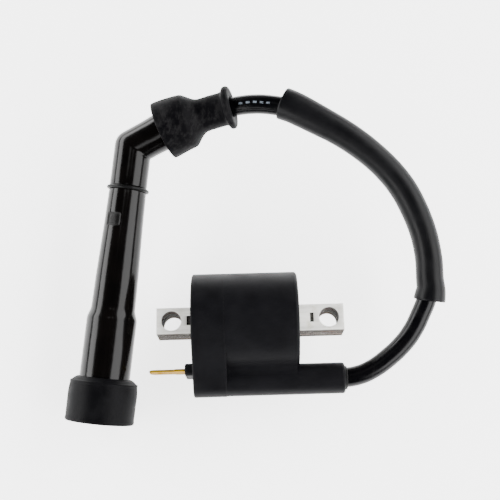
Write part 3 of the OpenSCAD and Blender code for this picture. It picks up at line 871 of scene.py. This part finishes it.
def make_core(face_steel, edge_steel, dark):
    """The stack of stamped sheets, each a hair out of line, and its pressed locking dimples."""
    sheets, inset, bevel = 22, 0.02, 0.05
    pitch = CORE_THICKNESS / sheets
    sheet = pitch * 0.93
    holes = [(side * LUG_SPACING / 2, 0, LUG_HOLE_R) for side in (-1, 1)]
    half_x, half_y = CORE_LENGTH / 2, CORE_WIDTH / 2
    corners = ((-1, -1), (1, -1), (1, 1), (-1, 1))
    outline = [(x * (half_x - inset), y * (half_y - inset)) for x, y in corners]
    slot = rounded_outline(1.3, 3.3, 0.15, 3)
    slots = [[(side * DIMPLE_X + x, y) for x, y in slot] for side in (-1, 1)]
    plain = filled_plate("sheet", outline, holes, sheet, bevel, face_steel)
    pierced = filled_plate("top_sheet", outline, holes, sheet, bevel, face_steel, slots)
    joined = bmesh.new()
    for i in range(sheets):
        part = (pierced if i == sheets - 1 else plain).data.copy()
        outer = i in (0, sheets - 1)
        shift = (0, 0) if outer else (rng.uniform(-0.03, 0.02), rng.uniform(-0.02, 0.02))
        z = (i + 0.5) * pitch - CORE_THICKNESS / 2
        part.transform(Matrix.Translation((shift[0] * MM, shift[1] * MM, z * MM)))
        joined.from_mesh(part)
        bpy.data.meshes.remove(part)
    bpy.data.objects.remove(plain)
    bpy.data.objects.remove(pierced)
    mesh = bpy.data.meshes.new("core_stack")
    joined.to_mesh(mesh)
    joined.free()
    made = add_object("core_stack", mesh)
    for material in (face_steel, edge_steel):
        mesh.materials.append(material)
    flat = 0.6  # least vertical share of a normal that counts as the sheet's face
    for face in mesh.polygons:
        face.material_index = 0 if abs(face.normal.z) > flat else 1
    shade(made, 30)
    finish_piece(made, COIL, "core_steel", "core_laminations")
    finish_piece(make_dimples(dark), COIL, "core_steel")


def make_dimples(material):
    """The sunk tongue in each slot of the top sheet, lower at its two ends than in its middle."""
    points, faces = [], []
    half_width, half_length, steps = 0.62, 1.62, 12
    low, sunk = CORE_THICKNESS / 2 - 0.48, CORE_THICKNESS / 2 - 0.42
    for side in (-1, 1):
        base = len(points)
        for i in range(steps + 1):
            y = half_length * (2 * i / steps - 1)
            rise = 0.1 + (0.2 if side > 0 else 0.06) * math.cos(math.pi * y / 3.6)
            for x in (-half_width, half_width):
                points += [(side * DIMPLE_X + x, y, low), (side * DIMPLE_X + x, y, sunk + rise)]
        for i in range(steps):
            a = base + 4 * i
            for u, v in ((0, 1), (1, 3), (3, 2), (2, 0)):
                faces.append((a + u, a + v, a + 4 + v, a + 4 + u))
        faces += [(base, base + 2, base + 3, base + 1)]
        a = base + 4 * steps
        faces += [(a, a + 1, a + 3, a + 2)]
    return mesh_object("locking_dimples", points, faces, material, 30)


# ---------------------------------------------------------------- the plug cap


def in_cap(p):
    """A place in the cap's own axes, taken to the part's frame."""
    return CAP_ELBOW + CAP_TURN @ Vector(p)


def barrel_radius(down):
    """Outside radius at a distance below the elbow: a slow taper, a flare, then the lower barrel."""
    taper = [(0, NECK_R), (BAND_AT, NECK_R), (PAD_AT, BARREL_R_AT_PAD), (48, 7.7)]
    taper.append((FLARE_TOP, BARREL_R_AT_FLARE))
    if down <= FLARE_TOP:
        return interpolate(taper, down)
    if down < FLARE_END:
        t = (down - FLARE_TOP) / (FLARE_END - FLARE_TOP)
        return BARREL_R_AT_FLARE + (BARREL_R - BARREL_R_AT_FLARE) * (3 * t * t - 2 * t ** 3)
    return BARREL_R


def pad_depth(angle, down):
    """How deep the framed recess is at a place on the barrel. Its middle stands up as a low pad."""
    depth, pad_height, soft = 0.32, 0.24, 0.9
    half_u, half_v = 2.6, 2.15
    pad_half_u, pad_half_v, pad_corner_r = 0.9, 0.6, 0.8
    across = (math.degrees(angle) - PAD_ANGLE + 180) % 360 - 180
    u, v = abs(math.radians(across) * BARREL_R_AT_PAD), abs(down - PAD_AT)

    def share_inside(distance):
        """0 outside an edge, 1 inside it, and between them over the soft width."""
        return min(1.0, max(0.0, distance / soft + 0.5))

    a, b = share_inside(half_u - u), share_inside(half_v - v)
    recess = a * a * (3 - 2 * a) * b * b * (3 - 2 * b)
    past_corner = math.hypot(max(0, u - pad_half_u), max(0, v - pad_half_v))
    return depth * recess - pad_height * share_inside(pad_corner_r - past_corner)


def make_cap(material, pad_material):
    """Hollow elbow in one skin: lower bore, barrel, mitred corner with a soft edge, arm and lead bore."""
    count = 256
    rings = []

    def barrel_ring(down, r, carved=False):
        ring = []
        for k in range(count):
            a = 2 * math.pi * k / count
            depth = pad_depth(a, down) if carved else 0.0
            ring.append(in_cap(((r - depth) * math.cos(a), (r - depth) * math.sin(a), -down)))
        rings.append(ring)

    for down, r in ((62.9, 4.3), (62.9, 6.9), (63.2, 7), (94.8, 7), (95.6, 7.5), (BARREL_END, 8)):
        barrel_ring(down, r)
    for down, r in arc_profile(BARREL_END, 8.4, BARREL_END - 0.6, BARREL_R, True, 5):
        barrel_ring(down, r)
    stations = [90, 80, 72, 67] + [FLARE_END - (FLARE_END - FLARE_TOP) * i / 12 for i in range(13)]
    stations += [57, 53, 48, 43, 38, 34, 32]
    for down in stations:
        barrel_ring(down, barrel_radius(down))
    pad_steps, pad_reach = 44, 3.2
    for i in range(pad_steps + 1):
        down = PAD_AT + pad_reach - 2 * pad_reach * i / pad_steps
        barrel_ring(down, barrel_radius(down), True)
    for down in (23, 20, 18):
        barrel_ring(down, barrel_radius(down))
    groove = ((0.95, 0), (0.7, 0.055), (0.4, 0.275), (0, 0.385), (-0.4, 0.275), (-0.7, 0.055), (-0.95, 0))
    for below_band, depth in groove:
        barrel_ring(BAND_AT + below_band, NECK_R - depth)
    barrel_ring(12, NECK_R)
    half = ELBOW_BEND / 2
    least_fillet, fillet_growth, fillet_steps = 0.6, 5.2, 10
    corner_rings = [[] for _ in range(fillet_steps + 1)]
    barrel_up = Vector((0, 0, 1))
    arm_out = Vector((math.sin(ELBOW_BEND), 0, math.cos(ELBOW_BEND)))
    for k in range(count):
        a = 2 * math.pi * k / count
        x, y = NECK_R * math.cos(a), NECK_R * math.sin(a)
        outer = 0.5 - 0.5 * math.cos(a)
        fillet_r = least_fillet + fillet_growth * outer * outer
        reach = fillet_r * math.tan(half)
        corner = Vector((x, y, -x * math.tan(half)))
        start, end = corner - barrel_up * reach, corner + arm_out * reach
        inward = (arm_out - barrel_up).normalized()
        centre = corner + inward * (fillet_r / math.cos(half))
        for i in range(fillet_steps + 1):
            t = i / fillet_steps
            from_centre = (start - centre).lerp(end - centre, t).normalized() * fillet_r
            corner_rings[i].append(in_cap(centre + from_centre))
    rings += corner_rings

    arm_across, level = Vector((math.cos(ELBOW_BEND), 0, -math.sin(ELBOW_BEND))), Vector((0, 1, 0))
    arm = [(7, NECK_R), (9, 6.85), (11, 6.95), (13, ARM_R), (20.6, ARM_R), (21.1, 6.9), (ARM_LENGTH, 6.5)]
    lead_bore = [(ARM_LENGTH, 4.3), (21.2, 3.9), (20.8, 3.8), (5, 3.8)]
    for out, r in arm + lead_bore:
        rings.append([in_cap(p) for p in circle_ring(arm_out * out, arm_across, level, r, count)])
    points, faces = ring_grid(rings)
    made = mesh_object("cap_moulding", points, faces, material, 32)
    made.data.materials.append(pad_material)
    back = CAP_TURN.transposed()
    least_depth = 0.04
    for face in made.data.polygons:
        p = back @ (face.center / MM - CAP_ELBOW)
        if abs(p.z + PAD_AT) < pad_reach and pad_depth(math.atan2(p.y, p.x), -p.z) > least_depth:
            face.material_index = 1
    return finish_piece(made, CAP, "cap_phenolic", "cap_body")


def make_band(material):
    """The thin ring in its groove, sitting a little askew."""
    count, sides, r = 96, 16, 0.62
    lift, tilt, tilt_from = 0.33, 0.35, 2.4
    up = Vector((0, 0, 1))
    rings = []
    for i in range(count):
        a = 2 * math.pi * i / count
        out = Vector((math.cos(a), math.sin(a), 0))
        centre = out * (NECK_R + lift) + up * (tilt * math.cos(a - tilt_from) - BAND_AT)
        rings.append([in_cap(p) for p in circle_ring(centre, out, up, r, sides)])
    points, faces = looped_grid(rings)
    made = mesh_object("band_ring", points, faces, material, 60)
    return finish_piece(made, CAP, "rubber_black", "cap_band")


def make_plug_boot(material):
    """The rubber cup on the barrel's end: soft shoulder, thin lip, crowned wall and a sealing bore."""
    top, end, r = BOOT_TOP, BOOT_END, PLUG_BOOT_R
    shoulder = [
        (top + 0.3, 9.06), (top + 0.05, 9.2), (top, 9.45), (top + 0.1, 9.75), (top + 0.45, 10.3),
        (top + 1.0, 11.0), (top + 1.35, 11.4), (top + 1.5, 11.7), (top + 1.62, 11.88), (top + 1.85, 12.0),
        (top + 2.15, 11.98), (top + 2.4, 11.9), (top + 2.9, 11.98), (top + 4, 12.15), (top + 6, 12.3),
    ]
    wall_and_rim = [
        (top + 9, r - 0.02), (end - 3.2, r - 0.06), (end - 2.0, r - 0.12), (end - 1.5, r - 0.1),
        (end - 1.1, r - 0.02), (end - 0.6, r), (end - 0.25, r - 0.15), (end - 0.06, r - 0.4), (end, r - 0.8),
    ]
    sealing_bore = [(end, 7.7), (end - 0.15, 7.25), (end - 0.5, 6.95), (end - 0.9, 6.82), (96.4, 6.82)]
    barrel_seat = [(96.25, 7.0), (96.2, 9.04), (BARREL_END, 9.06)]
    count, bore_r = 128, 9.3
    rings = []
    for down, radius in shoulder + wall_and_rim + sealing_bore + barrel_seat:
        ring = []
        for k in range(count):
            a = 2 * math.pi * k / count
            p = Vector((radius * math.cos(a), radius * math.sin(a), -down))
            lump = noise.noise(p * 0.16 + Vector((5, 2, 1))) * 0.1 if radius > bore_r else 0.0
            grow = 1 + lump / radius
            ring.append(in_cap((p.x * grow, p.y * grow, p.z)))
        rings.append(ring)
    points, faces = looped_grid(rings)
    made = mesh_object("plug_boot_skin", points, faces, material, 45)
    return finish_piece(made, BOOT, "rubber_boot", "plug_boot")


# ---------------------------------------------------------------- stage


def make_stage():
    """A wide floor under the part, the dome, and the lights whose reflections model the black pieces."""
    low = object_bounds()[0]
    half = 30.0  # metres
    corners = [(-half, -half, low.z), (half, -half, low.z), (half, half, low.z), (-half, half, low.z)]
    mesh = bpy.data.meshes.new("floor")
    mesh.from_pydata(corners, [], [(0, 1, 2, 3)])
    floor = add_object("floor", mesh)
    mesh.materials.append(floor_paper())
    studio_world()
    area_light("left_strip", (-0.5, 0.0, 0.2), (-0.03, 0.0, 0.0), 1.6, 0.25, 15.0)
    area_light("right_strip", (0.5, 0.0, 0.36), (0.0, 0.0, 0.0), 1.6, 0.5, 22.0)
    area_light("back_strip", (0.0, 0.55, 0.22), (0.0, 0.0, 0.0), 1.2, 0.12, 0.35)
    area_light("arm_card", (-0.08, -0.27, 0.386), (-0.034, 0.067, 0.02), 0.08, 0.25, 0.3)
    for side in (-1, 1):
        area_light("lug_card", (side * 0.07, 0.101, 0.46), (side * 0.028, 0.0, 0.0), 0.08, 0.07, 0.04)


def studio_world():
    """A dim dome that darkens towards its top, so that upward faces stay black, and a pale backdrop."""
    world = bpy.data.worlds.new("studio")
    bpy.context.scene.world = world
    world.use_nodes = True
    tree = world.node_tree
    dome = tree.nodes["Background"]
    place = node(tree, "ShaderNodeTexCoord")
    parts = node(tree, "ShaderNodeSeparateXYZ")
    tree.links.new(place.outputs["Generated"], parts.inputs["Vector"])
    tree.links.new(span(tree, parts.outputs["Z"], 0.35, 0.015, 0.0, 0.7), dome.inputs["Strength"])
    backdrop = node(tree, "ShaderNodeBackground", Color=(1, 1, 1, 1), Strength=FLOOR_GLOW)
    rays = node(tree, "ShaderNodeLightPath")
    choice = node(tree, "ShaderNodeMixShader")
    tree.links.new(rays.outputs["Is Camera Ray"], choice.inputs[0])
    tree.links.new(dome.outputs["Background"], choice.inputs[1])
    tree.links.new(backdrop.outputs["Background"], choice.inputs[2])
    tree.links.new(choice.outputs["Shader"], tree.nodes["World Output"].inputs["Surface"])


def area_light(name, place, aim, width, height, power):
    """A rectangular light, in metres and watts, that faces its aim with its width level."""
    data = bpy.data.lights.new(name, "AREA")
    data.shape = "RECTANGLE"
    data.size, data.size_y = width, height
    data.energy = power
    light = add_object(name, data)
    light.location = place
    light.rotation_mode = "QUATERNION"
    light.rotation_quaternion = (Vector(aim) - Vector(place)).to_track_quat("-Z", "Y")


# ---------------------------------------------------------------- build

make_camera()
lead = make_lead(lead_rubber())
ink = make_print(print_ink())
sleeve = make_sleeve(sleeve_vinyl())
cable_boot = make_cable_boot(dusty_rubber())
make_grommet(smooth_rubber())
plastic = housing_plastic()
make_housing(plastic)
make_terminal_base(plastic)
brass = blade_brass()
make_blade(brass)
make_core(lug_face_steel(), cut_edge_steel(), dimple_painted_shade())
cap = make_cap(cap_phenolic(), pad_finish())
band = make_band(smooth_rubber())
plug_boot = make_plug_boot(boot_rubber())

steel = plain_metal("plated_steel", (0.62, 0.62, 0.63), 0.3)
copper = plain_metal("bare_copper", (0.8, 0.42, 0.26), 0.28)
windings = wound_copper()
bobbin = pale_moulding("bobbin_nylon", (0.6, 0.57, 0.48))
ceramic = pale_moulding("resistor_ceramic", (0.78, 0.76, 0.7))
HIDDEN_LOOKS = {
    "epoxy_fill": epoxy_resin(),
    "primary_bobbin": bobbin,
    "secondary_bobbin": bobbin,
    "primary_winding": windings,
    "secondary_winding": windings,
    "primary_jumper": copper,
    "hv_link_wire": copper,
    "lead_conductor": copper,
    "ground_strip": steel,
    "hv_terminal": brass,
    "elbow_insert": brass,
    "plug_contact": brass,
    "lead_screw": steel,
    "resistor_end_caps": steel,
    "contact_spring": steel,
    "retaining_clip": steel,
    "cap_resistor": ceramic,
}
for name, material in HIDDEN_LOOKS.items():
    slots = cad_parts[name].data.materials
    slots.clear()
    slots.append(material)

make_stage()
